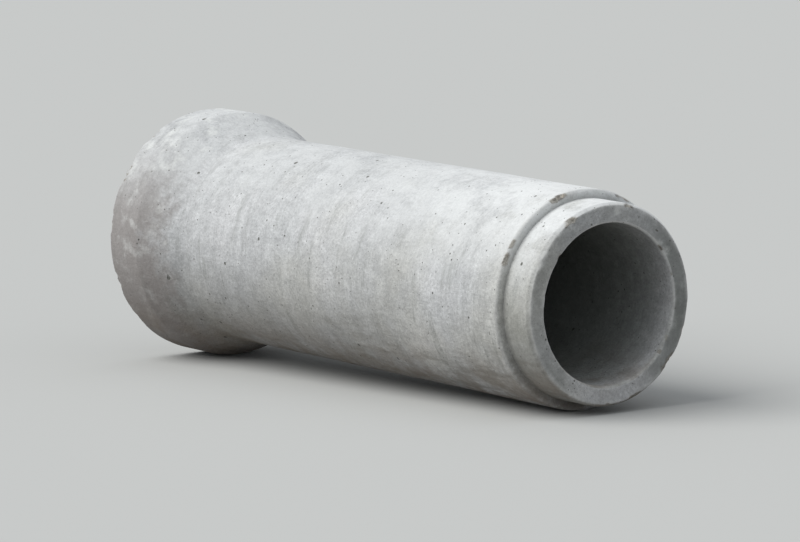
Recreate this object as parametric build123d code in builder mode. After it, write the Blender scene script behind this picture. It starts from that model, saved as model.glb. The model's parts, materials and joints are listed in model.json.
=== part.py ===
"""Unreinforced concrete sewer pipe with a bell and spigot joint, lying on level ground.

The pipe is one casting, turned about its own axis: a bell at the -X end, a barrel, and a
stepped-down spigot at the +X end that fits the bell of the next pipe. Because the bell is
wider than the barrel, a pipe on flat ground touches it at two places, under the bell and
under the end of the barrel, and its axis drops a little towards the spigot.

Millimetres, +Z up. The origin is on the ground, under the middle of the pipe.
"""

import os
from math import asin, atan2, cos, degrees, hypot, sin, tan

from build123d import *

# Bore and barrel
bore_diameter = 300.0
barrel_wall = 55.0
laying_length = 1220.0

# Spigot
spigot_step = 17.0
spigot_step_gap = 7.0

# Bell
socket_depth = 68.0
joint_gap = 6.0
bell_wall = 50.0
bell_length = 95.0
shoulder_length = 110.0

# Bevels of the joint: how far each runs along the axis and how deep it cuts
mouth_bevel_length = 10.0
mouth_bevel_depth = 5.0
seat_bevel = 4.0
nose_bevel_length = 8.0
nose_bevel_depth = 5.0

# Rounded edges, as the steel forms leave them
bell_face_round = 7.0
bell_crest_round = 25.0
shoulder_foot_round = 70.0
barrel_end_round = 5.0
spigot_mouth_round = 4.0
socket_root_round = 6.0

# Radii, from the pipe's axis
bore_radius = bore_diameter / 2
barrel_radius = bore_radius + barrel_wall
spigot_radius = barrel_radius - spigot_step
socket_radius = spigot_radius + joint_gap
bell_radius = socket_radius + bell_wall

# Places along the axis, from the face of the bell
shoulder_end = bell_length + shoulder_length
overall_length = socket_depth + laying_length
spigot_length = socket_depth + spigot_step_gap
barrel_end = overall_length - spigot_length

# The two edges that the pipe rests on, each given by the centre of its round.
# The crest of the bell is where its cylinder turns into the shoulder.
shoulder_angle = atan2(bell_radius - barrel_radius, shoulder_length)
crest_along = bell_length - bell_crest_round * tan(shoulder_angle / 2)
crest_radius = bell_radius - bell_crest_round
heel_along = barrel_end - barrel_end_round
heel_radius = barrel_radius - barrel_end_round

# Rest angle: the level line that touches both rounds from below
rise = crest_radius - heel_radius
run = heel_along - crest_along
rest_tilt = atan2(rise, run) + asin((bell_crest_round - barrel_end_round) / hypot(rise, run))

# Height of the axis at the bell's face, from the contact under the crest of the bell
face_height = bell_crest_round + crest_radius * cos(rest_tilt) + crest_along * sin(rest_tilt)

# The farthest points each way: the bottom of the bell's face and the top of the spigot's
reach_back = bell_face_round * (1 - cos(rest_tilt)) + (bell_radius - bell_face_round) * sin(rest_tilt)
nose_rim = spigot_radius - nose_bevel_depth
reach_front = overall_length * cos(rest_tilt) + nose_rim * sin(rest_tilt)
face_x = -(reach_front - reach_back) / 2

# The section is drawn in the upright plane through the pipe's axis: local x along the
# axis from the bell's face, local y out from the axis
section_plane = Plane(
    origin=(face_x, 0, face_height),
    x_dir=(cos(rest_tilt), 0, -sin(rest_tilt)),
    z_dir=(0, -1, 0),
)
pipe_axis = Axis(section_plane.origin, section_plane.x_dir)

# Corners of the wall's section: along the axis, out from it, radius of the round.
# The root of the spigot is sharp. The other sharp corners are bevelled on the solid.
inside_corners = [
    (overall_length, bore_radius, spigot_mouth_round),
    (socket_depth, bore_radius, 0),
    (socket_depth, socket_radius, socket_root_round),
    (0, socket_radius, 0),
]
outside_corners = [
    (0, bell_radius, bell_face_round),
    (bell_length, bell_radius, bell_crest_round),
    (shoulder_end, barrel_radius, shoulder_foot_round),
    (barrel_end, barrel_radius, barrel_end_round),
    (barrel_end, spigot_radius, 0),
    (overall_length, spigot_radius, 0),
]
corners = inside_corners + outside_corners

with BuildPart() as concrete_pipe:
    with BuildSketch(section_plane):
        with BuildLine():
            FilletPolyline(
                *[(along, out) for along, out, _ in corners],
                radius=[corner_round for _, _, corner_round in corners],
                close=True,
            )
        make_face()
    revolve(axis=pipe_axis)

    # The flat faces, in order from the bell: its end, the seat at the bottom of the
    # socket, the step down to the spigot, and the spigot's end
    flat_faces = concrete_pipe.faces().filter_by(GeomType.PLANE).sort_by(pipe_axis)
    bell_end, seat, _, spigot_end = flat_faces
    mouth_edge = bell_end.inner_wires()[0].edge()
    seat_edge = seat.inner_wires()[0].edge()
    nose_edge = spigot_end.outer_wire().edge()
    chamfer(mouth_edge, mouth_bevel_depth, mouth_bevel_length, reference=bell_end)
    chamfer(seat_edge, seat_bevel)
    chamfer(nose_edge, nose_bevel_depth, nose_bevel_length, reference=spigot_end)

concrete_pipe.part.label = "concrete_pipe"

print(f"overall length {overall_length:.0f} mm, barrel {2 * barrel_radius:.0f} mm across")
print(f"bell {2 * bell_radius:.0f} mm across, socket {2 * socket_radius:.0f} mm across")
print(f"spigot {2 * spigot_radius:.0f} mm across, {spigot_length:.0f} mm long")
print(f"axis drops {degrees(rest_tilt):.3f} degrees towards the spigot")

os.makedirs("parts", exist_ok=True)
export_step(concrete_pipe.part, "parts/concrete_pipe.step")
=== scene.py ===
# %% [markdown]
# # A concrete sewer pipe, lying on its side
#
# The real pipe is one casting of stiff concrete, packed into a steel form that stands on the
# pipe's bell. It has a bell at one end, a straight barrel, and a stepped-down spigot at the other
# end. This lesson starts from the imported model, which fixes every size, and adds what the eye
# sees: the cast skin, the ragged rims, the stains and the dust.

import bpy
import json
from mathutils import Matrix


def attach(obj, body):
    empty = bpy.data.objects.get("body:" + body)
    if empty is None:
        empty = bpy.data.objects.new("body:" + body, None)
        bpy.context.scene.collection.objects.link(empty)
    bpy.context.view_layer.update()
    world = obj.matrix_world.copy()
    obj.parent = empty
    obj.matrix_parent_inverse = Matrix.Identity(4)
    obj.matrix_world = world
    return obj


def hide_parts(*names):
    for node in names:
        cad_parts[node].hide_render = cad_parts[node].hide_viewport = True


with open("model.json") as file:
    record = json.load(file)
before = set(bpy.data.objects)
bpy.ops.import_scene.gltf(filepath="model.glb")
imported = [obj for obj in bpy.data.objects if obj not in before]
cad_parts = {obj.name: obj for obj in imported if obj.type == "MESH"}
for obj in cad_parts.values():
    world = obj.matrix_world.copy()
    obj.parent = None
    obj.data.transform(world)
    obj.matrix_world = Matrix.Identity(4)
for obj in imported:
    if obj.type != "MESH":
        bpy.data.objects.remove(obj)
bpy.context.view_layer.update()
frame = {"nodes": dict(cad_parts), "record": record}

# %% [markdown]
# ## Read the pipe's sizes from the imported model
#
# Nothing here is measured by eye. The mounts in the record give the axis and the three bores and
# pins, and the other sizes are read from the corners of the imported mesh, because every corner of
# a turned solid is a place along the axis and a distance out from it.

# %% The axis, and each corner's place along it and out from it
import json

import bpy
import numpy as np


def unit(vector):
    """The vector divided by its length."""
    return vector / np.linalg.norm(vector)


MM = 0.001
pipe_node = frame["nodes"]["concrete_pipe"]
mounts = {mount["name"]: mount for mount in frame["record"]["mounts"]}
axis = unit(np.array(mounts["spigot"]["axis"]))
side = np.array([0.0, 1.0, 0.0])
up = unit(np.cross(axis, side))
on_axis = np.array(mounts["bore"]["pos_m"])

packed = np.empty(3 * len(pipe_node.data.vertices), np.float32)
pipe_node.data.vertices.foreach_get("co", packed)
packed = packed.reshape(-1, 3) - on_axis
packed_along = packed @ axis
packed_out = np.linalg.norm(packed - packed_along[:, None] * axis, axis=1)
bell_centre = on_axis + packed_along.min() * axis
packed_along = packed_along - packed_along.min()
print("centre of the bell's face", bell_centre.round(4), "axis", axis.round(4))

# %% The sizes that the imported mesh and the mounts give
bore_radius, socket_radius, spigot_radius = (
    mounts[name]["dims"]["r_mm"] * MM for name in ("bore", "socket", "spigot")
)
overall_length = packed_along.max()
second_half = packed_along > overall_length / 2
bell_radius = packed_out.max()
barrel_radius = packed_out[second_half].max()
barrel_end = packed_along[second_half & (packed_out > spigot_radius + MM)].max()
on_seat = (packed_out > bore_radius + MM) & (packed_out < socket_radius - MM) & ~second_half
socket_depth = packed_along[on_seat].max()
print(f"length {overall_length:.4f}, barrel radius {barrel_radius:.4f}, bell {bell_radius:.4f}")
print(f"socket {socket_depth:.4f} deep, barrel ends at {barrel_end:.4f}")

# %% [markdown]
# ## The camera comes first
#
# The camera looks from well back and a little above, with the spigot end nearer. On a hard floor
# the pipe leans by two degrees, because its bell is wider than its barrel. The camera's place is
# set in the pipe's own directions, so it leans as much, and the pipe lies level in the picture.
# A long lens brings the pipe up to fill three quarters of the picture's width.

# %% Camera at the photograph's place, with a longer lens
from mathutils import Matrix, Vector

BARREL_WIDTH = 2 * barrel_radius
# From the centre of the spigot's face, in barrel widths: ahead, to the side, up
CAMERA_OFFSET = np.array([17.96, -14.41, 3.45])
LENS_MM, AIM_BELOW_AXIS, FARTHEST_SEEN = 236, 12 * MM, 200
spigot_centre = bell_centre + overall_length * axis
aim_at = (bell_centre + spigot_centre) / 2 - AIM_BELOW_AXIS * up
camera_place = spigot_centre + BARREL_WIDTH * CAMERA_OFFSET @ np.array([axis, side, up])
looking = unit(aim_at - camera_place)
rightwards = unit(np.cross(looking, up))
facing = Matrix(np.column_stack([rightwards, np.cross(rightwards, looking), -looking]).tolist())

camera = bpy.data.objects.new("camera", bpy.data.cameras.new("camera"))
bpy.context.scene.collection.objects.link(camera)
camera.location = Vector(camera_place)
camera.rotation_euler = facing.to_euler()
camera.data.lens = LENS_MM
camera.data.clip_end = FARTHEST_SEEN
bpy.context.scene.camera = camera
print("camera at", camera_place.round(3), "looking at", aim_at.round(3))

# %% [markdown]
# ## The section of the wall
#
# A turned piece is drawn as one half section. Its corners are listed once, going from the mouth
# of the socket through the bore to the spigot, and back along the outside to the bell. Corners
# that the steel form rounds get an arc. Bevels are simply two corners. Blender's Screw modifier
# could turn the section too, but points that are worked out here can be moved one by one later.

# %% Corners of the section: along the axis, out from it, radius of the round
bell_length, shoulder_length = 95 * MM, 110 * MM
mouth_bevel_length, mouth_bevel_depth, seat_bevel = 10 * MM, 5 * MM, 4 * MM
nose_bevel_length, nose_bevel_depth = 8 * MM, 5 * MM
bell_face_round, bell_crest_round, shoulder_foot_round = 7 * MM, 25 * MM, 70 * MM
barrel_end_round, spigot_mouth_round, socket_root_round = 5 * MM, 4 * MM, 6 * MM
nose_radius = spigot_radius - nose_bevel_depth
mouth_radius = socket_radius + mouth_bevel_depth

section_corners = [
    (0, mouth_radius, 0),
    (mouth_bevel_length, socket_radius, 0),
    (socket_depth, socket_radius, socket_root_round),
    (socket_depth, bore_radius + seat_bevel, 0),
    (socket_depth + seat_bevel, bore_radius, 0),
    (overall_length, bore_radius, spigot_mouth_round),
    (overall_length, nose_radius, 0),
    (overall_length - nose_bevel_length, spigot_radius, 0),
    (barrel_end, spigot_radius, 0),
    (barrel_end, barrel_radius, barrel_end_round),
    (bell_length + shoulder_length, barrel_radius, shoulder_foot_round),
    (bell_length, bell_radius, bell_crest_round),
    (0, bell_radius, bell_face_round),
]
print(len(section_corners), "corners in the section")


# %% Round the corners
def rounded(corners, step, fewest=4):
    """The closed outline through the corners. Where a corner has a radius, it becomes an arc that
    touches both of its sides: the arc's centre lies on the line that halves the corner, at the
    radius divided by the sine of half the corner's angle. The arc has a point for each step of
    its length, and never fewer than the fewest."""
    flat = [np.array(corner[:2]) for corner in corners]
    outline = []
    for number, (_, _, radius) in enumerate(corners):
        here = flat[number]
        if radius == 0:
            outline.append(here[None])
            continue
        back = unit(flat[number - 1] - here)
        ahead = unit(flat[(number + 1) % len(flat)] - here)
        half = np.arccos(back @ ahead) / 2
        centre = here + unit(back + ahead) * radius / np.sin(half)
        from_centre = here + np.array([back, ahead]) * radius / np.tan(half) - centre
        start, end = np.arctan2(from_centre[:, 1], from_centre[:, 0])
        sweep = (end - start + np.pi) % (2 * np.pi) - np.pi
        turn = start + sweep * np.linspace(0, 1, max(fewest, int(radius * abs(sweep) / step)))
        outline.append(centre + radius * np.column_stack([np.cos(turn), np.sin(turn)]))
    return np.vstack(outline)


section_outline = rounded(section_corners, step=2.5 * MM)
print(len(section_outline), "points with the rounds in")

# %% [markdown]
# ## Where the mesh is fine
#
# Rims break, so the mesh needs a point every few millimetres there. The long plain walls of the
# barrel and the bore need few. An even grid would be too coarse in one place or too heavy in the
# other. So the section is cut into steps whose length grows with the distance from the nearest
# rim, which keeps the piece under 200,000 triangles.

# %% Cut the section into steps, short at the rims and long between them
AROUND = 480
rims = {
    "bell": (0, bell_radius),
    "mouth": (0, mouth_radius),
    "seat": (socket_depth, bore_radius),
    "bore": (overall_length, bore_radius),
    "nose": (overall_length, nose_radius),
    "step": (barrel_end, barrel_radius),
}
rim_places = np.array(list(rims.values()))
rim_distances = np.array([0, 14, 60, 300]) * MM
step_lengths = np.array([2.5, 2.8, 13, 50]) * MM


def step_at(places):
    """Length of a step at each place of the section, from the distance to the nearest rim."""
    away = np.linalg.norm(places[:, None] - rim_places, axis=2).min(axis=1)
    return np.interp(away, rim_distances, step_lengths)


def stepped(outline, samples=200):
    """The outline with more points on its straight runs. Steps per metre are added up along each
    run, over this many samples, and the points stand at equal parts of that sum."""
    rows = []
    for start, end in zip(outline, np.roll(outline, -1, axis=0)):
        part = np.linspace(0, 1, samples)
        per_part = np.linalg.norm(end - start) / step_at(start + (end - start) * part[:, None])
        total = np.concatenate([[0], np.cumsum((per_part[1:] + per_part[:-1]) / 2 * np.diff(part))])
        count = max(1, round(total[-1]))
        places = np.interp(np.linspace(0, total[-1], count + 1)[:-1], total, part)
        rows.append(start + (end - start) * places[:, None])
    return np.vstack(rows)


section = stepped(section_outline)
print(len(section), "rows round the section,", 2 * len(section) * AROUND, "triangles to come")

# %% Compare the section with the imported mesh
ahead = np.roll(section, -1, axis=0) - section
to_corners = np.column_stack([packed_along, packed_out])[:, None] - section
share = np.clip((to_corners * ahead).sum(2) / (ahead**2).sum(1), 0, 1)
misfit = np.linalg.norm(to_corners - share[..., None] * ahead, axis=2).min(axis=1)
print(f"packed corners lie within {misfit.max() / MM:.3f} mm of the section")

# %% [markdown]
# ## Uneven walls
#
# A cast wall is never a perfect cylinder. Here its unevenness is a sum of waves: cosines with
# random directions and lengths, the same each run because the random numbers are seeded. Waves
# were chosen over noise textures because the mesh itself has to be uneven, so that the rims and
# the shadow edges are uneven too. The wall only ever moves inwards, so the pipe stays inside the
# packed box.

# %% A cloudy field made of waves
angle = np.linspace(-np.pi, np.pi, AROUND, endpoint=False)
ideal_along, ideal_out = (np.repeat(column[:, None], AROUND, axis=1) for column in section.T)
around_unit = np.cos(angle)[:, None] * up + np.sin(angle)[:, None] * side


def placed(along, out):
    """Places in space: so far along the axis from the bell's face, and so far out from it."""
    return bell_centre + along[..., None] * axis + out[..., None] * around_unit


def clouds(points, size, seed, waves=24, shortest=0.6, longest=1.7):
    """A smooth random field, mostly between -1 and 1: the sum of cosine waves that run in random
    directions. Their lengths lie between the shortest and the longest share of the size."""
    draw = np.random.default_rng(seed)
    heading = draw.normal(size=(waves, 3))
    heading /= np.linalg.norm(heading, axis=1)[:, None]
    length = size * draw.uniform(shortest, longest, waves)
    phase = draw.uniform(0, 2 * np.pi, waves)
    crests = np.cos(points @ (heading.T * 2 * np.pi / length) + phase)
    return crests.sum(axis=-1) * (2 / waves) ** 0.5


skin = placed(ideal_along, ideal_out)
print("grid of", skin.shape[0], "by", skin.shape[1], "points")

# %% How far the cast wall lies behind its ideal surface
# Usual depth and size of the long waves, and of the short ones on the end faces
WALL_WAVE, WALL_WAVE_SIZE = 0.45 * MM, 260 * MM
FACE_WAVE, FACE_WAVE_SIZE = 0.5 * MM, 28 * MM
slope = np.roll(section, -1, axis=0) - np.roll(section, 1, axis=0)
inward = np.column_stack([-slope[:, 1], slope[:, 0]])
inward /= np.linalg.norm(inward, axis=1)[:, None]
area_sign = np.sign((section[:, 0] * slope[:, 1] - section[:, 1] * slope[:, 0]).sum())
inward *= area_sign
end_face = np.abs(inward[:, 0])[:, None]

wall_depth = WALL_WAVE * (1 + clouds(skin, WALL_WAVE_SIZE, seed=3)) / 2
wall_depth += FACE_WAVE * end_face * (1 + clouds(skin, FACE_WAVE_SIZE, seed=4)) / 2
wall_depth = np.clip(wall_depth, 0, None)
print(f"the wall lies up to {wall_depth.max() / MM:.2f} mm behind its ideal surface")

# %% [markdown]
# ## Broken rims
#
# A pipe gets knocks whenever it is moved, and its edges crumble. On the real pipe a break
# takes off the corner along a rough plane. The same is done here: at each rim a plane leans
# across the corner, and it is set deeper where a break is. Every point of the wall that sticks
# out past the plane is pushed back onto it, with a soft start, as a worn edge has. This needs
# few points, and a displacement texture would smear the corner instead of taking it off.


# %% How deep the rim is broken at each angle
SMALLEST_BREAK, SHALLOWEST_BREAK = 0.15, 0.6


def breaks(radius, count, widest, deepest, seed, seen):
    """Depth of the breaks round a rim. Each is half an ellipse over its length round the rim, and
    where two overlap the deeper one wins. Most are small and a few are large, because their size
    is the cube of an even draw. The breaks that the photograph shows are added as listed: angle
    from the top, half width, depth."""
    draw = np.random.default_rng(seed)
    middle = draw.uniform(-np.pi, np.pi, count)
    size = SMALLEST_BREAK + (1 - SMALLEST_BREAK) * draw.random(count) ** 3
    half_width = widest * size
    depth = deepest * size * draw.uniform(SHALLOWEST_BREAK, 1.0, count)
    by_hand = np.array(seen).reshape(-1, 3)
    middle, half_width, depth = (np.append(drawn, hand) for drawn, hand in
                                 zip((middle, half_width, depth), by_hand.T))
    apart = (angle[:, None] - middle + np.pi) % (2 * np.pi) - np.pi
    shape = np.sqrt(np.clip(1 - (apart * radius / half_width) ** 2, 0, 1))
    return (depth * shape).max(axis=1)


print("the smallest breaks are", SMALLEST_BREAK, "as wide as the widest")

# %% Take the corner off along a leaning plane
SOFT_START, RIM_REACH, BREAK_SHOWS = 1.0 * MM, 40 * MM, 0.5 * MM
# Lumps in the breaks and in the wear: strength, size, and what is added to the seed
BREAK_LUMPS, LEAST_LUMP = ((0.35, 24 * MM, 100), (0.18, 9 * MM, 200)), 0.3
WEAR_LUMPS = ((1.0, 60 * MM, 300), (0.4, 16 * MM, 400))
along, out = ideal_along.copy(), ideal_out.copy()
broken = np.zeros(along.shape)


def lumps(kinds, seed):
    """One plus the cloudy fields of these kinds, each times its strength."""
    return 1 + sum(strength * clouds(skin, size, seed + more) for strength, size, more in kinds)


def break_rim(rim, leaning, count, widest, deepest, wear, seed, seen=(), only=True):
    """Push back what sticks out past the leaning plane at this rim. The plane stands at the
    wall's outermost point, less a little wear everywhere, less the depth of the breaks. The push
    starts as a parabola and goes over into a straight line at the soft start's length. Where
    only part of the wall may be cut, such as at an inner corner, the last value says which."""
    corner, leaning = rims[rim], unit(np.array(leaning))
    stick_out = (along - corner[0]) * leaning[0] + (out - corner[1]) * leaning[1]
    near = (np.hypot(along - corner[0], out - corner[1]) < RIM_REACH) & only
    depth = breaks(corner[1], count, widest, deepest, seed, seen)
    broke_off = depth * np.clip(lumps(BREAK_LUMPS, seed), LEAST_LUMP, None)
    worn = wear * lumps(WEAR_LUMPS, seed) / 2
    past = stick_out - (stick_out[near].max() - np.clip(worn, 0, None) - broke_off)
    soft = np.clip(past + SOFT_START, 0, 2 * SOFT_START) ** 2 / (4 * SOFT_START)
    cut = np.where(near, soft + np.clip(past - SOFT_START, 0, None), 0)
    along[:] -= cut * leaning[0]
    out[:] -= cut * leaning[1]
    broken[:] = np.maximum(broken, np.where(broke_off > BREAK_SHOWS, cut, 0))
    print(f"{rim} rim: {count + len(seen)} breaks, cut up to {cut.max() / MM:.1f} mm deep")


# %% Break the six rims of the pipe
break_rim("bell", (-1, 1), count=15, widest=40 * MM, deepest=6.0 * MM, wear=1.2 * MM, seed=11,
          seen=[(-1.0, 34 * MM, 5.5 * MM), (-0.62, 20 * MM, 4.5 * MM), (-1.95, 24 * MM, 5.0 * MM)])
break_rim("mouth", (-1, -0.6), count=10, widest=26 * MM, deepest=4.5 * MM, wear=1.0 * MM, seed=12)
break_rim("nose", (1, 0.8), count=9, widest=24 * MM, deepest=4.0 * MM, wear=1.0 * MM, seed=13,
          seen=[(-0.52, 17 * MM, 4.0 * MM), (0.24, 11 * MM, 3.0 * MM), (2.3, 16 * MM, 3.5 * MM)])
break_rim("bore", (1, -1), count=6, widest=15 * MM, deepest=2.8 * MM, wear=0.8 * MM, seed=14)
break_rim("step", (1, 1), count=9, widest=22 * MM, deepest=3.6 * MM, wear=1.0 * MM, seed=15,
          seen=[(-0.30, 20 * MM, 3.6 * MM), (-1.1, 14 * MM, 3.0 * MM)],
          only=ideal_out > spigot_radius + MM)
break_rim("seat", (-1, -1), count=5, widest=12 * MM, deepest=2.0 * MM, wear=0.6 * MM, seed=16)
print(f"{np.mean(broken > 0):.1%} of the points lie in a break")

# %% [markdown]
# ## One closed mesh
#
# The grid closes on itself both ways, like a ring with the wall as its section, so the piece has
# no seam, no pole and no open edge. Its volume is worked out from its triangles: that tells
# whether the faces point outwards, and it can be compared with the weight in the record.

# %% Join the grid into a mesh
points = placed(along + wall_depth * inward[:, :1], out + wall_depth * inward[:, 1:])
rows, columns = points.shape[:2]
index = np.arange(rows * columns).reshape(rows, columns)
next_row, next_column = np.roll(index, -1, axis=0), np.roll(index, -1, axis=1)
next_both = np.roll(next_row, -1, axis=1)
quads = np.stack([index, next_row, next_both, next_column], axis=-1).reshape(-1, 4)
flat_points = points.reshape(-1, 3)


def enclosed(points, quads):
    """Volume inside the faces: each triangle spans a pyramid with the origin, and the pyramids'
    signed volumes add up."""
    a, b, c, d = (points[quads[:, number]] for number in range(4))
    return ((a * np.cross(b, c)).sum() + (a * np.cross(c, d)).sum()) / 6


flipped = enclosed(flat_points, quads) < 0
if flipped:
    quads = quads[:, ::-1]
cast_mesh = bpy.data.meshes.new("concrete_pipe_cast")
cast_mesh.from_pydata(flat_points, [], quads)
cast_mesh.update()
cast_pipe = bpy.data.objects.new("concrete_pipe_cast", cast_mesh)
bpy.context.scene.collection.objects.link(cast_pipe)
volume = enclosed(flat_points, quads)
print(f"{len(quads) * 2} triangles, {volume * 1000:.1f} litres")

# %% Smooth walls with crisp inner corners
CRISP_ANGLE = np.radians(55)
cast_mesh.polygons.foreach_set("use_smooth", np.ones(len(quads), bool))
cast_mesh.set_sharp_from_angle(angle=CRISP_ANGLE)
print("mesh needed no repair:", not cast_mesh.validate())

# %% [markdown]
# ## What the mesh tells the material
#
# Some marks follow the pipe's own parts: broken stone shows only where a rim broke, grime and
# painted shade sit in the inner corners, and the inside stays damp, with painted shade deeper in.
# Those are easier to say here, where the section is known, than with nodes. Each becomes one
# number at every point, which the material reads.


# %% Numbers at the points
def mark(name, value):
    """Store one number for each point under this name."""
    stored = cast_mesh.attributes.new(name, "FLOAT", "POINT")
    stored.data.foreach_set("value", value.ravel().astype(np.float32))
    print(f"{name}: from {value.min():.2f} to {value.max():.2f}")


def near_corner(corner, reach):
    """One at this corner of the section, falling smoothly to nothing at about twice the reach:
    e to the power of minus the square of distance over reach."""
    distance = np.hypot(ideal_along - corner[0], ideal_out - corner[1])
    return np.exp(-((distance / reach) ** 2))


# A cut of the first length shows bare stone, and the end faces are flat to within the second.
# From each end, the inside sets in over the third length, and over the fourth it darkens with
# damp and with painted shade
BARE_STONE, END_SLACK, INSIDE_OVER, DAMP_AND_SHADE_OVER = 1.6 * MM, 0.5 * MM, 12 * MM, 70 * MM
# The step gathers less grime than the seat's corner, because rain reaches it. Both corners are
# also darkened with painted shade in the grime's colour
STEP_GRIME_AND_SHADE, STEP_NOOK, SEAT_NOOK, RIM_BAND, EDGE_BAND = 0.4, 7 * MM, 9 * MM, 16 * MM, 4.5 * MM
last_inner_row = np.abs(section - (overall_length, bore_radius)).sum(axis=1).argmin()
inner_rows = (np.arange(len(section)) <= last_inner_row)[:, None]
depth_inside = np.minimum(ideal_along, overall_length - ideal_along)
on_end = np.minimum(np.abs(ideal_along), np.abs(overall_length - ideal_along)) < END_SLACK
mark("broken", np.clip(broken / BARE_STONE, 0, 1))
mark("inner", np.where(inner_rows, np.clip(depth_inside / INSIDE_OVER, 0, 1), 0))
mark("damp_and_shade", np.where(inner_rows, 1 - np.exp(-depth_inside / DAMP_AND_SHADE_OVER), 0))
mark("end", on_end.astype(float))
mark("nook_grime_and_shade", np.maximum(STEP_GRIME_AND_SHADE * near_corner((barrel_end, spigot_radius), STEP_NOOK),
                        near_corner((socket_depth, socket_radius), SEAT_NOOK)))
mark("rim", sum(near_corner(rims[rim], RIM_BAND) for rim in rims if rim != "seat").clip(0, 1))
mark("edge", sum(near_corner(rims[rim], EDGE_BAND) for rim in rims).clip(0, 1))

# %% A map of the whole skin, for baking
# Unrolled, the skin is one sheet: across it runs the way along the section, up it the way round
section_length = np.linalg.norm(np.roll(section, -1, axis=0) - section, axis=1)
share_along = np.concatenate([[0], np.cumsum(section_length)]) / section_length.sum()
share_around = np.linspace(0, 1, AROUND + 1)
row, column = np.divmod(np.arange(rows * columns), columns)
corner_map = np.stack([np.stack([share_along[row + a], share_around[column + b]], axis=-1)
                       for a, b in ((0, 0), (1, 0), (1, 1), (0, 1))], axis=1)
if flipped:
    corner_map = corner_map[:, ::-1]
cast_mesh.uv_layers.new(name="OFBake").data.foreach_set("uv", corner_map.ravel().astype(np.float32))
print("map of", len(corner_map) * 4, "corners")

# %% The frame takes the new piece in place of the plain one
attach(cast_pipe, "root")
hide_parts("concrete_pipe")
print(cast_pipe.name, "is shown in place of", pipe_node.name)

# %% [markdown]
# ## Light, floor and background
#
# The light is soft and plain: it comes from all round and is strongest from above. A very wide
# sun lamp gives the strongest part, and the world gives the rest. A small lamp would draw hard
# shadows and make the dull skin look polished. The floor is plain and pale.


# %% Colours as a maker writes them
def linear(hex_colour):
    """A hex colour as the four linear numbers that a shader socket takes."""
    parts = np.array([int(hex_colour[n : n + 2], 16) for n in (1, 3, 5)]) / 255
    straight = np.where(parts <= 0.04045, parts / 12.92, ((parts + 0.055) / 1.055) ** 2.4)
    return (*straight.tolist(), 1.0)


print("mid grey #808080 is", round(linear("#808080")[0], 3), "in linear numbers")


# %% Nodes as one line each
def add(tree, kind, links=None, **settings):
    """A new shader node of this kind with its settings. Each link names or numbers an input and
    gives it a value, a socket, or another node, whose first output in use is then taken."""
    made = tree.nodes.new("ShaderNode" + kind)
    for name, value in settings.items():
        setattr(made, name, value)
    for key, value in (links or {}).items():
        if isinstance(key, int):
            socket = made.inputs[key]
        else:
            socket = next(s for s in made.inputs if s.name == key and s.enabled)
        if isinstance(value, bpy.types.Node):
            value = next(s for s in value.outputs if s.enabled)
        if isinstance(value, bpy.types.NodeSocket):
            tree.links.new(value, socket)
        else:
            socket.default_value = value
    return made


# %% Light from all round
# The camera sees a plain pale backdrop, and the pipe is lit by a weaker, slightly cool white
LIGHT_ROUND, LIGHT_ROUND_STRENGTH, BACKDROP, BACKDROP_STRENGTH = "#f1f5fa", 0.52, "#e9eaea", 1.0
world = bpy.data.worlds.new("thin_cloud")
bpy.context.scene.world = world
world.use_nodes = True
world.node_tree.nodes.clear()
room = world.node_tree
ray = add(room, "LightPath")
looked_at = add(room, "Math", {0: ray.outputs["Is Camera Ray"], 1: ray.outputs["Is Glossy Ray"]},
                operation="MAXIMUM")
looked_at = add(room, "Math", {0: looked_at, 1: ray.outputs["Is Transmission Ray"]},
                operation="MAXIMUM")
light = add(room, "Background", {"Color": linear(LIGHT_ROUND), "Strength": LIGHT_ROUND_STRENGTH})
backdrop = add(room, "Background", {"Color": linear(BACKDROP), "Strength": BACKDROP_STRENGTH})
shown = add(room, "MixShader", {0: looked_at, 1: light, 2: backdrop})
add(room, "OutputWorld", {"Surface": shown})
print("light from all round", LIGHT_ROUND, "at strength", LIGHT_ROUND_STRENGTH)

# %% The strongest part of the light, from above and the left
SUN_STRENGTH, SUN_WIDTH_DEG, SUN_COLOUR = 2.3, 55, "#fffefc"
sun = bpy.data.objects.new("cloud_glow", bpy.data.lights.new("cloud_glow", "SUN"))
sun.data.energy = SUN_STRENGTH
sun.data.angle = np.radians(SUN_WIDTH_DEG)
sun.data.color = linear(SUN_COLOUR)[:3]
sun_from = Vector((-0.32, -0.75, 0.85))
sun.rotation_euler = sun_from.to_track_quat("Z", "Y").to_euler()
bpy.context.scene.collection.objects.link(sun)
print("sun stands at", sun_from.normalized())

# %% Floor of matt paper
# Matt paper has no gloss, so it shows the pipe's shadow and nothing else. To the camera it is
# pale, and it throws back less light than that, so that the underside of the pipe stays dark
FLOOR_SEEN, FLOOR_BOUNCE, FLOOR_REACH = "#c9cac8", "#8d8b88", 60.0
floor_mesh = bpy.data.meshes.new("studio_floor")
floor_corners = FLOOR_REACH * np.array([(-1, -1, 0), (1, -1, 0), (1, 1, 0), (-1, 1, 0)])
floor_mesh.from_pydata(floor_corners, [], [(0, 1, 2, 3)])
floor = bpy.data.objects.new("studio_floor", floor_mesh)
bpy.context.scene.collection.objects.link(floor)
paper = bpy.data.materials.new("matt_floor_paper")
paper.use_nodes = True
paper.node_tree.nodes.clear()
floor_ray = add(paper.node_tree, "LightPath")
shade = add(paper.node_tree, "Mix", {"Factor": floor_ray.outputs["Is Camera Ray"],
            "A": linear(FLOOR_BOUNCE), "B": linear(FLOOR_SEEN)}, data_type="RGBA")
paper_body = add(paper.node_tree, "BsdfDiffuse", {"Color": shade})
add(paper.node_tree, "OutputMaterial", {"Surface": paper_body})
floor_mesh.materials.append(paper)
print("floor reaches", FLOOR_REACH, "m each way")

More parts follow.
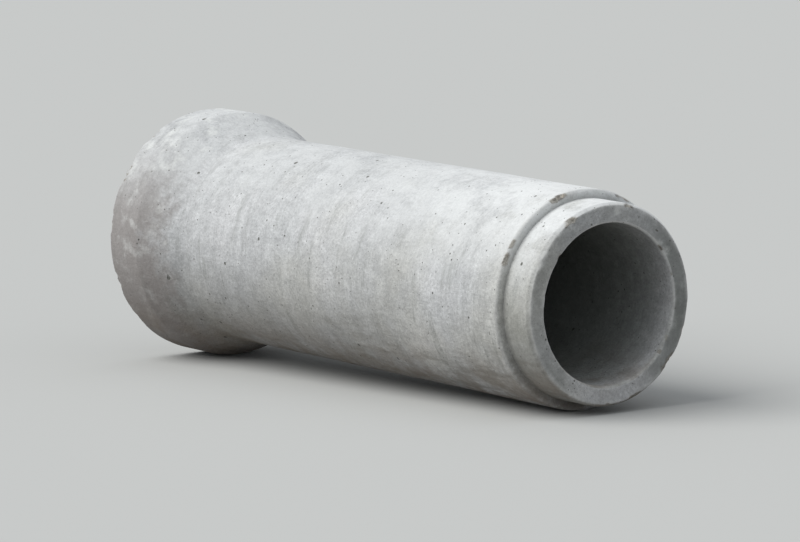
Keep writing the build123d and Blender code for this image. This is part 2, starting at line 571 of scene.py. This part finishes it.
# %% [markdown]
# ## Cast concrete
#
# The real material is stiff Portland cement concrete, formed against steel. That gives a matt,
# pale grey skin of cement paste that hides the stones, with clouds where the paste is richer,
# faint rings from the form, and small air holes. Stored outdoors, it gets pale with dust on top,
# streaked by rain down its sides, and dirty low down. The layers are laid over each other
# in that order, as they came on the real pipe. A painted picture could show them too, but it
# would have seams. Patterns that read the place in the pipe run on over every edge.

# %% Coordinates that lie along the pipe
# Height is 1 at the top of each ring round the axis and -1 at its bottom, and sideways likewise
concrete = bpy.data.materials.new("cast_concrete")
concrete.use_nodes = True
concrete.node_tree.nodes.clear()
skin_tree = concrete.node_tree
tilt = np.arctan2(-axis[2], axis[0])
where = add(skin_tree, "TexCoord")
in_pipe = add(skin_tree, "Mapping", {"Vector": where.outputs["Object"],
              "Location": bell_centre.tolist(), "Rotation": (0, tilt, 0)}, vector_type="TEXTURE")
parts = add(skin_tree, "SeparateXYZ", {0: in_pipe})
above_floor = add(skin_tree, "SeparateXYZ", {0: where.outputs["Object"]}).outputs["Z"]
off_axis = add(skin_tree, "VectorMath", {0: in_pipe, 1: (0, 1, 1)}, operation="MULTIPLY")
distance_out = add(skin_tree, "VectorMath", {0: off_axis}, operation="LENGTH")
height = add(skin_tree, "Math", {0: parts.outputs["Z"], 1: distance_out.outputs["Value"]},
             operation="DIVIDE")
sideways = add(skin_tree, "Math", {0: parts.outputs["Y"], 1: distance_out.outputs["Value"]},
               operation="DIVIDE")
marks = {name: add(skin_tree, "Attribute", attribute_name=name).outputs["Fac"]
         for name in ("broken", "inner", "damp_and_shade", "end", "nook_grime_and_shade", "rim", "edge")}
outside = add(skin_tree, "Math", {0: 1.0, 1: marks["inner"]}, operation="SUBTRACT")
outer_wall = add(skin_tree, "Math", {0: outside, 1: marks["end"]}, operation="SUBTRACT",
                 use_clamp=True)
print("pipe tilts", round(float(np.degrees(tilt)), 2), "degrees")

# %% Patterns that several layers share
CLOUD_SIZE, PATCH_SIZE, MOTTLE_SIZE, GRAIN_SIZE = 240 * MM, 90 * MM, 22 * MM, 5 * MM
cloud = add(skin_tree, "TexNoise", {"Vector": in_pipe, "Scale": 1 / CLOUD_SIZE, "Detail": 8.0,
            "Roughness": 0.68})
patch = add(skin_tree, "TexNoise", {"Vector": in_pipe, "Scale": 1 / PATCH_SIZE, "Detail": 7.0,
            "Roughness": 0.72})
mottle = add(skin_tree, "TexNoise", {"Vector": in_pipe, "Scale": 1 / MOTTLE_SIZE, "Detail": 5.0,
             "Roughness": 0.66})
grain = add(skin_tree, "TexNoise", {"Vector": in_pipe, "Scale": 1 / GRAIN_SIZE, "Detail": 2.0,
            "Roughness": 0.8})
print(f"patterns from {CLOUD_SIZE / MM:.0f} mm down to {GRAIN_SIZE / MM:.0f} mm wide")

# %% Cement paste, richer in some clouds and leaner in others
PASTE, RICH_PASTE, LEAN_PASTE = "#cccecf", "#d9dadb", "#b6b8b9"
rich = add(skin_tree, "MapRange", {"Value": cloud, "From Min": 0.5, "From Max": 0.68})
lean = add(skin_tree, "MapRange", {"Value": cloud, "From Min": 0.5, "From Max": 0.32})
colour = add(skin_tree, "Mix", {"Factor": rich, "A": linear(PASTE), "B": linear(RICH_PASTE)},
             data_type="RGBA")
colour = add(skin_tree, "Mix", {"Factor": lean, "A": colour, "B": linear(LEAN_PASTE)},
             data_type="RGBA")
print("paste", PASTE, "with rich clouds", RICH_PASTE, "and lean ones", LEAN_PASTE)

# %% A faint warm tint in patches, from clay in the sand
# W only picks another pattern than the clouds
CLAY_TINT, TINT_SIZE = "#cac9be", 330 * MM
tint = add(skin_tree, "TexNoise", {"Vector": in_pipe, "Scale": 1 / TINT_SIZE, "Detail": 4.0,
           "W": 3.0}, noise_dimensions="4D")
tint_mask = add(skin_tree, "MapRange", {"Value": tint, "From Min": 0.5, "From Max": 0.68,
                "To Max": 0.45}, interpolation_type="SMOOTHSTEP")
colour = add(skin_tree, "Mix", {"Factor": tint_mask, "A": colour, "B": linear(CLAY_TINT)},
             data_type="RGBA")
print(f"clay tint {CLAY_TINT} in patches about {TINT_SIZE / MM:.0f} mm wide")

# %% Rings and drag marks of the steel form
# The rings run round every turned face, the flat end faces too, so their pattern is read at the
# place along the axis and the distance out, and drifts slowly round the pipe. The drag marks run
# lengthwise: places squeezed one way before a pattern is read stretch the pattern that way
RING_WIDTH, RING_DRIFT, DRAG_WIDTH, DRAG_SQUEEZE = 26 * MM, 0.06, 10 * MM, 0.05
turned = add(skin_tree, "CombineXYZ", {"X": parts.outputs["X"],
             "Y": distance_out.outputs["Value"]})
drift = add(skin_tree, "VectorMath", {0: in_pipe, 1: (0, RING_DRIFT, RING_DRIFT)},
            operation="MULTIPLY")
ringwise = add(skin_tree, "VectorMath", {0: turned, 1: drift}, operation="ADD")
dragwise = add(skin_tree, "Mapping", {"Vector": in_pipe, "Scale": (DRAG_SQUEEZE, 1, 1)})
rings = add(skin_tree, "TexNoise", {"Vector": ringwise, "Scale": 1 / RING_WIDTH, "Detail": 5.0,
            "Roughness": 0.65})
drags = add(skin_tree, "TexNoise", {"Vector": dragwise, "Scale": 1 / DRAG_WIDTH, "Detail": 4.0,
            "Roughness": 0.65})
print(f"rings about {RING_WIDTH / MM:.0f} mm and drag marks about {DRAG_WIDTH / MM:.0f} mm wide")

# %% Their brightness, with the mottling and the sand grain
# A noise lies mostly between 0.3 and 0.7, so the strength is spread over that
strengths = {rings: 0.15, drags: 0.09, mottle: 0.18, grain: 0.24}
for texture, strength in strengths.items():
    brightness = add(skin_tree, "MapRange", {"Value": texture, "From Min": 0.3, "From Max": 0.7,
                     "To Min": 1 - strength / 2, "To Max": 1 + strength / 2}, clamp=False)
    colour = add(skin_tree, "VectorMath", {0: colour, "Scale": brightness}, operation="SCALE")
print("patterns change the brightness by", list(strengths.values()))

# %% Single sand grains that show through the paste, dark ones and light ones
# Real sand is finer, 0.3 to 2 mm. It is drawn 2.6 mm across, so that it shows at this distance.
# Each grain has its own shade, and its edge is soft over the outer two fifths of its radius
SAND_SPACING, SAND_RADIUS, DARKEST_SAND, LIGHTEST_SAND = 6.5 * MM, 1.3 * MM, -0.38, 0.16
sand = add(skin_tree, "TexVoronoi", {"Vector": in_pipe, "Scale": 1 / SAND_SPACING})
sand_draw = add(skin_tree, "SeparateColor", {0: sand.outputs["Color"]})
in_sand = add(skin_tree, "MapRange", {"Value": sand.outputs["Distance"],
              "From Min": SAND_RADIUS / SAND_SPACING, "From Max": 0.6 * SAND_RADIUS / SAND_SPACING})
sand_light = add(skin_tree, "MapRange", {"Value": sand_draw.outputs["Red"],
                 "To Min": DARKEST_SAND, "To Max": LIGHTEST_SAND})
sand_light = add(skin_tree, "Math", {0: sand_light, 1: in_sand, 2: 1.0}, operation="MULTIPLY_ADD")
colour = add(skin_tree, "VectorMath", {0: colour, "Scale": sand_light}, operation="SCALE")
print(f"sand grains {SAND_RADIUS / MM * 2:.1f} mm across")

# %% Rain runs down the sides
RUN_COLOUR, RUN_WIDTH, RUN_SQUEEZE = "#989b97", 22 * MM, 0.14
runwise = add(skin_tree, "Mapping", {"Vector": in_pipe, "Scale": (1, RUN_SQUEEZE, RUN_SQUEEZE)})
runs = add(skin_tree, "TexNoise", {"Vector": runwise, "Scale": 1 / RUN_WIDTH, "Detail": 5.0,
           "Roughness": 0.7})
run_mask = add(skin_tree, "MapRange", {"Value": runs, "From Min": 0.52, "From Max": 0.74,
               "To Max": 0.65}, interpolation_type="SMOOTHSTEP")
run_mask = add(skin_tree, "Math", {0: run_mask, 1: outer_wall}, operation="MULTIPLY")
colour = add(skin_tree, "Mix", {"Factor": run_mask, "A": colour, "B": linear(RUN_COLOUR)},
             data_type="RGBA")
print(f"runs {RUN_WIDTH / MM:.0f} mm wide and {RUN_WIDTH / RUN_SQUEEZE / MM:.0f} mm long")

# %% [markdown]
# ## Dirt, dust, lime and painted shade
#
# The bell is the dirtiest part, because it is the widest and so lies lowest. The lower side is
# streaked lengthwise where mud dried on it, and towards the bell a film of the mud's colour is
# painted shade. The flat end faces stay darker than the smooth wall, with painted shade on the side
# away from the sun and painted light at the top, and the inner corners carry grime and painted
# shade. Dust and the white lime that rain draws out of cement lie on the upper side. Each is one
# colour mixed in through a mask, and each mask is a product of where it lies and how patchy it
# is, so that every kind can be changed alone.

# %% Dried mud along the lower side, and painted shade towards the bell
# It lies in streaks. Towards the bell, under them, an even film of the same colour is painted shade
MUD_AND_SHADE, MUD_WIDTH, MUD_SQUEEZE, SHADE_FILM_FROM, SHADE_FILM_FULL = "#94938d", 34 * MM, 0.22, 1.0, 0.5
lengthwise = add(skin_tree, "Mapping", {"Vector": in_pipe, "Scale": (MUD_SQUEEZE, 1, 1)})
mud = add(skin_tree, "TexNoise", {"Vector": lengthwise, "Scale": 1 / MUD_WIDTH, "Detail": 6.0,
          "Roughness": 0.68})
painted_shade_film = add(skin_tree, "MapRange", {"Value": parts.outputs["X"], "From Min": SHADE_FILM_FROM,
           "From Max": SHADE_FILM_FULL, "To Max": 0.38}, interpolation_type="SMOOTHSTEP")
mud_and_shade_mask = add(skin_tree, "MapRange", {"Value": mud, "From Min": 0.46, "From Max": 0.66,
               "To Min": painted_shade_film, "To Max": 0.65}, interpolation_type="SMOOTHSTEP")
lower = add(skin_tree, "MapRange", {"Value": height, "From Min": 0.1, "From Max": -0.7},
            interpolation_type="SMOOTHSTEP")
mud_and_shade_mask = add(skin_tree, "Math", {0: mud_and_shade_mask, 1: lower}, operation="MULTIPLY")
mud_and_shade_mask = add(skin_tree, "Math", {0: mud_and_shade_mask, 1: outer_wall}, operation="MULTIPLY")
colour = add(skin_tree, "Mix", {"Factor": mud_and_shade_mask, "A": colour, "B": linear(MUD_AND_SHADE)},
             data_type="RGBA")
print(f"mud {MUD_AND_SHADE} in streaks {MUD_WIDTH / MM:.0f} mm wide, its film full up to {SHADE_FILM_FULL} m")

# %% Darker end faces, with painted shade and painted light
# They are darker in patches, and darkest on the side away from the sun, which is painted shade.
# At the top they are paler with dust and painted skylight, and at the very bottom less dark
END_FACE_AND_SHADE = "#8f928f"
end_patch = add(skin_tree, "MapRange", {"Value": patch, "From Min": 0.3, "From Max": 0.6,
                "To Min": 0.25, "To Max": 0.6})
shaded = add(skin_tree, "MapRange", {"Value": sideways, "From Min": 0.0, "From Max": 0.9,
             "To Max": 0.4}, interpolation_type="SMOOTHSTEP")
dusty_and_lit_top = add(skin_tree, "MapRange", {"Value": height, "From Min": 0.5, "From Max": 1.0,
             "To Min": 1.0, "To Max": 0.35}, interpolation_type="SMOOTHSTEP")
less_dark_bottom = add(skin_tree, "MapRange", {"Value": height, "From Min": -0.7, "From Max": -0.98,
              "To Min": 1.0, "To Max": 0.1}, interpolation_type="SMOOTHSTEP")
end_face_and_shade_mask = add(skin_tree, "Math", {0: end_patch, 1: shaded}, operation="ADD")
for part_of_mask in (dusty_and_lit_top, less_dark_bottom, marks["end"]):
    end_face_and_shade_mask = add(skin_tree, "Math", {0: end_face_and_shade_mask, 1: part_of_mask}, operation="MULTIPLY")
colour = add(skin_tree, "Mix", {"Factor": end_face_and_shade_mask, "A": colour, "B": linear(END_FACE_AND_SHADE)},
             data_type="RGBA")
print("end faces towards", END_FACE_AND_SHADE)

# %% The handled spigot, dirtier low down
SPIGOT_DIRT, SPIGOT_FADE = "#8f9088", 6 * MM
on_spigot = add(skin_tree, "MapRange", {"Value": parts.outputs["X"],
                "From Min": float(barrel_end), "From Max": float(barrel_end) + SPIGOT_FADE})
below_crown = add(skin_tree, "MapRange", {"Value": height, "From Min": 0.6, "From Max": -0.3,
                  "To Max": 0.7}, interpolation_type="SMOOTHSTEP")
dirt_patch = add(skin_tree, "MapRange", {"Value": patch, "From Min": 0.34, "From Max": 0.6,
                 "To Min": 1.0, "To Max": 0.55})
spigot_dirt = outer_wall
for part_of_mask in (on_spigot, below_crown, dirt_patch):
    spigot_dirt = add(skin_tree, "Math", {0: spigot_dirt, 1: part_of_mask}, operation="MULTIPLY")
colour = add(skin_tree, "Mix", {"Factor": spigot_dirt, "A": colour, "B": linear(SPIGOT_DIRT)},
             data_type="RGBA")
print("spigot towards", SPIGOT_DIRT, "below its crown")

# %% The dirty bell
# It thins out towards the barrel over the fade, along a ragged edge
BELL_DIRT, DIRT_REACH, DIRT_FADE, DIRT_RAGGED = "#9d9794", 200 * MM, 80 * MM, 50 * MM
ragged = add(skin_tree, "MapRange", {"Value": patch, "From Min": 0.3, "From Max": 0.7,
             "To Min": -DIRT_RAGGED, "To Max": DIRT_RAGGED})
dirt_place = add(skin_tree, "Math", {0: parts.outputs["X"], 1: ragged}, operation="ADD")
on_bell = add(skin_tree, "MapRange", {"Value": dirt_place, "From Min": DIRT_REACH,
              "From Max": DIRT_REACH - DIRT_FADE}, interpolation_type="SMOOTHSTEP")
not_on_top = add(skin_tree, "MapRange", {"Value": height, "From Min": 0.95, "From Max": 0.2,
                 "To Max": 0.8}, interpolation_type="SMOOTHSTEP")
bell_dirt = add(skin_tree, "Math", {0: on_bell, 1: not_on_top}, operation="MULTIPLY")
bell_dirt = add(skin_tree, "Math", {0: bell_dirt, 1: outside}, operation="MULTIPLY")
colour = add(skin_tree, "Mix", {"Factor": bell_dirt, "A": colour, "B": linear(BELL_DIRT)},
             data_type="RGBA")
print(f"bell dirt {BELL_DIRT} up to {DIRT_REACH / MM:.0f} mm from the bell's face")

# %% Dust on the upper side
DUST = "#dddfdf"
upper = add(skin_tree, "MapRange", {"Value": height, "From Min": 0.1, "From Max": 0.95},
            interpolation_type="SMOOTHSTEP")
dusty = add(skin_tree, "MapRange", {"Value": patch, "From Min": 0.3, "From Max": 0.66,
            "To Max": 0.9}, interpolation_type="SMOOTHSTEP")
dust_mask = add(skin_tree, "Math", {0: upper, 1: dusty}, operation="MULTIPLY")
dust_mask = add(skin_tree, "Math", {0: dust_mask, 1: outer_wall}, operation="MULTIPLY")
colour = add(skin_tree, "Mix", {"Factor": dust_mask, "A": colour, "B": linear(DUST)},
             data_type="RGBA")
print("dust", DUST)

# %% Lime washed towards the lower end
# The pipe leans to the spigot, so rain carries lime along its top that way
LIME_WASH, WASH_FROM, WASH_FULL = "#eceeee", 0.55, 1.15
towards_spigot = add(skin_tree, "MapRange", {"Value": parts.outputs["X"], "From Min": WASH_FROM,
                     "From Max": WASH_FULL}, interpolation_type="SMOOTHSTEP")
wash_patch = add(skin_tree, "MapRange", {"Value": patch, "From Min": 0.34, "From Max": 0.56,
                 "To Min": 0.2, "To Max": 0.85}, interpolation_type="SMOOTHSTEP")
wash_high = add(skin_tree, "MapRange", {"Value": height, "From Min": -0.05,
                "From Max": 0.85}, interpolation_type="SMOOTHSTEP")
wash_mask = outer_wall
for part_of_mask in (towards_spigot, wash_patch, wash_high):
    wash_mask = add(skin_tree, "Math", {0: wash_mask, 1: part_of_mask}, operation="MULTIPLY")
colour = add(skin_tree, "Mix", {"Factor": wash_mask, "A": colour, "B": linear(LIME_WASH)},
             data_type="RGBA")
print("lime wash", LIME_WASH, "from", WASH_FROM, "to", WASH_FULL, "m along the pipe")

# %% Lime bloom, in spots on the bell and along the rims
LIME, BLOOM_SIZE = "#e9ebe9", 34 * MM
bloom = add(skin_tree, "TexNoise", {"Vector": in_pipe, "Scale": 1 / BLOOM_SIZE, "Detail": 6.0,
            "Roughness": 0.62, "W": 7.0}, noise_dimensions="4D")
bloom_place = add(skin_tree, "Math", {0: on_bell, 1: marks["rim"]}, operation="MAXIMUM")
bloom_start = add(skin_tree, "MapRange", {"Value": bloom_place, "To Min": 0.66, "To Max": 0.52})
bloom_mask = add(skin_tree, "Math", {0: bloom, 1: bloom_start}, operation="SUBTRACT")
bloom_high = add(skin_tree, "MapRange", {"Value": height, "From Min": -0.7, "From Max": 0.6,
                 "To Min": 0.15, "To Max": 0.7})
bloom_mask = add(skin_tree, "MapRange", {"Value": bloom_mask, "From Min": -0.03,
                 "From Max": 0.14}, interpolation_type="SMOOTHSTEP")
bloom_mask = add(skin_tree, "Math", {0: bloom_mask, 1: bloom_high}, operation="MULTIPLY")
bloom_mask = add(skin_tree, "Math", {0: bloom_mask, 1: outside}, operation="MULTIPLY")
colour = add(skin_tree, "Mix", {"Factor": bloom_mask, "A": colour, "B": linear(LIME)},
             data_type="RGBA")
print(f"bloom in spots about {BLOOM_SIZE / MM:.0f} mm wide")

# %% Soil low down, and grime and painted shade in the inner corners
SOIL, SOIL_HEIGHT, GRIME_AND_SHADE, GRIME_AND_SHADE_STRENGTH = "#8f8375", 150 * MM, "#70726c", 0.8
low_down = add(skin_tree, "MapRange", {"Value": above_floor, "From Min": SOIL_HEIGHT,
               "From Max": 0.0}, interpolation_type="SMOOTHSTEP")
soil_patch = add(skin_tree, "MapRange", {"Value": patch, "From Min": 0.36, "From Max": 0.62,
                 "To Max": 0.85}, interpolation_type="SMOOTHSTEP")
soil_mask = add(skin_tree, "Math", {0: low_down, 1: soil_patch}, operation="MULTIPLY")
off_end = add(skin_tree, "MapRange", {"Value": marks["end"], "To Min": 1.0, "To Max": 0.1})
soil_mask = add(skin_tree, "Math", {0: soil_mask, 1: off_end}, operation="MULTIPLY")
colour = add(skin_tree, "Mix", {"Factor": soil_mask, "A": colour, "B": linear(SOIL)},
             data_type="RGBA")
# The inner corners get the grime colour, which also paints the shade that falls there
grime_and_shade_mask = add(skin_tree, "Math", {0: marks["nook_grime_and_shade"], 1: GRIME_AND_SHADE_STRENGTH}, operation="MULTIPLY")
colour = add(skin_tree, "Mix", {"Factor": grime_and_shade_mask, "A": colour, "B": linear(GRIME_AND_SHADE)},
             data_type="RGBA")
print(f"soil up to {SOIL_HEIGHT / MM:.0f} mm above the floor")

# %% Edges rubbed pale
RUBBED = "#dfe0de"
rubbed_mask = add(skin_tree, "MapRange", {"Value": mottle, "From Min": 0.35, "From Max": 0.6,
                  "To Min": 0.1, "To Max": 0.75})
rubbed_mask = add(skin_tree, "Math", {0: rubbed_mask, 1: marks["edge"]}, operation="MULTIPLY")
colour = add(skin_tree, "Mix", {"Factor": rubbed_mask, "A": colour, "B": linear(RUBBED)},
             data_type="RGBA")
print("rubbed edges", RUBBED)

# %% The grain of the skin shows through the dirt
shows_through = {mottle: 0.08, grain: 0.12}
for texture, strength in shows_through.items():
    brightness = add(skin_tree, "MapRange", {"Value": texture, "From Min": 0.3, "From Max": 0.7,
                     "To Min": 1 - strength / 2, "To Max": 1 + strength / 2}, clamp=False)
    colour = add(skin_tree, "VectorMath", {0: colour, "Scale": brightness}, operation="SCALE")
print(len(skin_tree.nodes), "nodes so far")

# %% [markdown]
# ## Air holes and broken stone
#
# Air that the steel form trapped leaves round holes, a few of them as wide as a pea and many as
# small as a pinhead, in swarms. Cells of a Voronoi pattern each hold one hole, whose size is drawn
# from the cell's own random colour. Modelled holes would need millions of faces. Where a rim
# broke, the paste is torn and the stones inside show.

# %% Air holes in the skin, wide ones and pinholes
# Real pinholes are 0.5 to 2 mm wide. The widest are drawn over 4 mm wide, so that they show.
# Each kind has its spacing, the power that makes wide ones rare, and its radius in spacings
HOLE_SHADE, HOLE_SPACING, PINHOLE_SPACING = "#7b7c76", 27 * MM, 9 * MM
HOLE_KINDS = ((HOLE_SPACING, 3.5, 0.20), (PINHOLE_SPACING, 3.0, 0.26))
unbroken = add(skin_tree, "Math", {0: 1.0, 1: marks["broken"]}, operation="SUBTRACT")
hole_masks = []
for spacing, rareness, largest in HOLE_KINDS:
    holes = add(skin_tree, "TexVoronoi", {"Vector": in_pipe, "Scale": 1 / spacing})
    draw = add(skin_tree, "SeparateColor", {0: holes.outputs["Color"]})
    swarm = add(skin_tree, "MapRange", {"Value": mottle, "From Min": 0.4, "From Max": 0.62,
                "To Min": 0.5})
    hole = add(skin_tree, "Math", {0: draw.outputs["Red"], 1: rareness}, operation="POWER")
    hole = add(skin_tree, "Math", {0: hole, 1: largest}, operation="MULTIPLY")
    hole = add(skin_tree, "Math", {0: hole, 1: swarm}, operation="MULTIPLY")
    hole = add(skin_tree, "Math", {0: hole, 1: holes.outputs["Distance"]}, operation="SUBTRACT")
    hole_masks.append(add(skin_tree, "MapRange", {"Value": hole, "From Min": -0.01,
                          "From Max": 0.04, "To Max": unbroken}))
hole_shade_mask = add(skin_tree, "Math", {0: hole_masks[0], 1: hole_masks[1]}, operation="MAXIMUM")
# The holes are painted a darker grey: painted shade in their hollows
colour = add(skin_tree, "Mix", {"Factor": hole_shade_mask, "A": colour, "B": linear(HOLE_SHADE)},
             data_type="RGBA")
print(f"holes {HOLE_SPACING / MM:.0f} mm apart, and pinholes {PINHOLE_SPACING / MM:.0f} mm apart")

# %% Stones and torn paste where a rim broke
# Torn paste is crumbly. Real crumbs are sand, and are drawn 3 mm wide, so that they show.
TORN_PASTE, PALE_STONE, DARK_STONE = "#bab7af", "#ccc4b6", "#86837e"
STONE_SIZE, JAG_SIZE, CRUMB_SIZE = 11 * MM, 7 * MM, 3 * MM
crumbs = add(skin_tree, "TexNoise", {"Vector": in_pipe, "Scale": 1 / CRUMB_SIZE, "Detail": 3.0,
             "Roughness": 0.7})
jag = add(skin_tree, "TexNoise", {"Vector": in_pipe, "Scale": 1 / JAG_SIZE, "Detail": 2.0})
jag = add(skin_tree, "VectorMath", {0: jag.outputs["Color"], 1: (JAG_SIZE,) * 3, 2: in_pipe},
          operation="MULTIPLY_ADD")
stones = add(skin_tree, "TexVoronoi", {"Vector": jag, "Scale": 1 / STONE_SIZE})
stone_draw = add(skin_tree, "SeparateColor", {0: stones.outputs["Color"]})
stone = add(skin_tree, "Mix", {"Factor": stone_draw.outputs["Green"], "A": linear(DARK_STONE),
            "B": linear(PALE_STONE)}, data_type="RGBA")
in_stone = add(skin_tree, "MapRange", {"Value": stones.outputs["Distance"], "From Min": 0.52,
               "From Max": 0.40})
torn = add(skin_tree, "Mix", {"Factor": in_stone, "A": linear(TORN_PASTE), "B": stone},
           data_type="RGBA")
torn_light = add(skin_tree, "MapRange", {"Value": crumbs, "From Min": 0.3, "From Max": 0.7,
                 "To Min": 0.66, "To Max": 1.14}, clamp=False)
torn = add(skin_tree, "VectorMath", {0: torn, "Scale": torn_light}, operation="SCALE")
colour = add(skin_tree, "Mix", {"Factor": marks["broken"], "A": colour, "B": torn},
             data_type="RGBA")
print(f"stones {STONE_SIZE / MM:.0f} mm and crumbs {CRUMB_SIZE / MM:.0f} mm wide")

# %% [markdown]
# ## Damp and painted shade, relief and finish
#
# The bore is never rained clean or dried by the wind, so it stays darker, and it darkens further
# away from its mouths, which is painted shade. The relief of the skin is 2 mm at most and finer
# than the mesh, so one Bump node makes it from the same patterns that colour the skin, each times
# its real height. So light and shade fall where the colour shows a hole, a ring or a stone.

# %% Damp inside, with painted shade that grows deeper in
DAMP_AND_SHADE = "#9a9d98"
colour = add(skin_tree, "Mix", {"Factor": marks["damp_and_shade"], "A": colour, "B": linear(DAMP_AND_SHADE)},
             data_type="RGBA", blend_type="MULTIPLY")
print("damp tint", DAMP_AND_SHADE)

# %% Relief, each pattern by its height in millimetres
# Inside, the turning head that packed the concrete left stronger ridges
ridges = add(skin_tree, "Math", {0: rings, 1: marks["inner"]}, operation="MULTIPLY")
stone_lift = add(skin_tree, "Math", {0: in_stone, 1: marks["broken"]}, operation="MULTIPLY")
crumb_lift = add(skin_tree, "Math", {0: crumbs, 1: marks["broken"]}, operation="MULTIPLY")
heights = {mottle: 1.4, grain: 0.9, rings: 1.1, ridges: 2.2, drags: 0.5, hole_masks[0]: -2.0,
           hole_masks[1]: -0.9, stone_lift: 1.2, crumb_lift: 2.4}
relief = 0.0
for pattern, millimetres in heights.items():
    relief = add(skin_tree, "Math", {0: pattern, 1: millimetres * MM, 2: relief},
                 operation="MULTIPLY_ADD")
bump = add(skin_tree, "Bump", {"Height": relief, "Strength": 1.0, "Distance": 1.0})
print("relief of", len(heights), "patterns")

# %% The finished concrete
# Dry concrete is matt all over, a little more so in some mottles. Its IOR is left at 1.5
SMOOTHEST, ROUGHEST = 0.84, 0.96
roughness = add(skin_tree, "MapRange", {"Value": mottle, "From Min": 0.3, "From Max": 0.7,
                "To Min": SMOOTHEST, "To Max": ROUGHEST})
body = add(skin_tree, "BsdfPrincipled", {"Base Color": colour, "Roughness": roughness,
           "Normal": bump, "Diffuse Roughness": 0.4})
add(skin_tree, "OutputMaterial", {"Surface": body})
cast_mesh.materials.append(concrete)
print(len(skin_tree.nodes), "nodes in", concrete.name)

# %% [markdown]
# ## The colour view
#
# The dressed pipe must stay inside the imported box.

# %% The Standard view of colour, and finish
bpy.context.scene.view_settings.view_transform = "Standard"
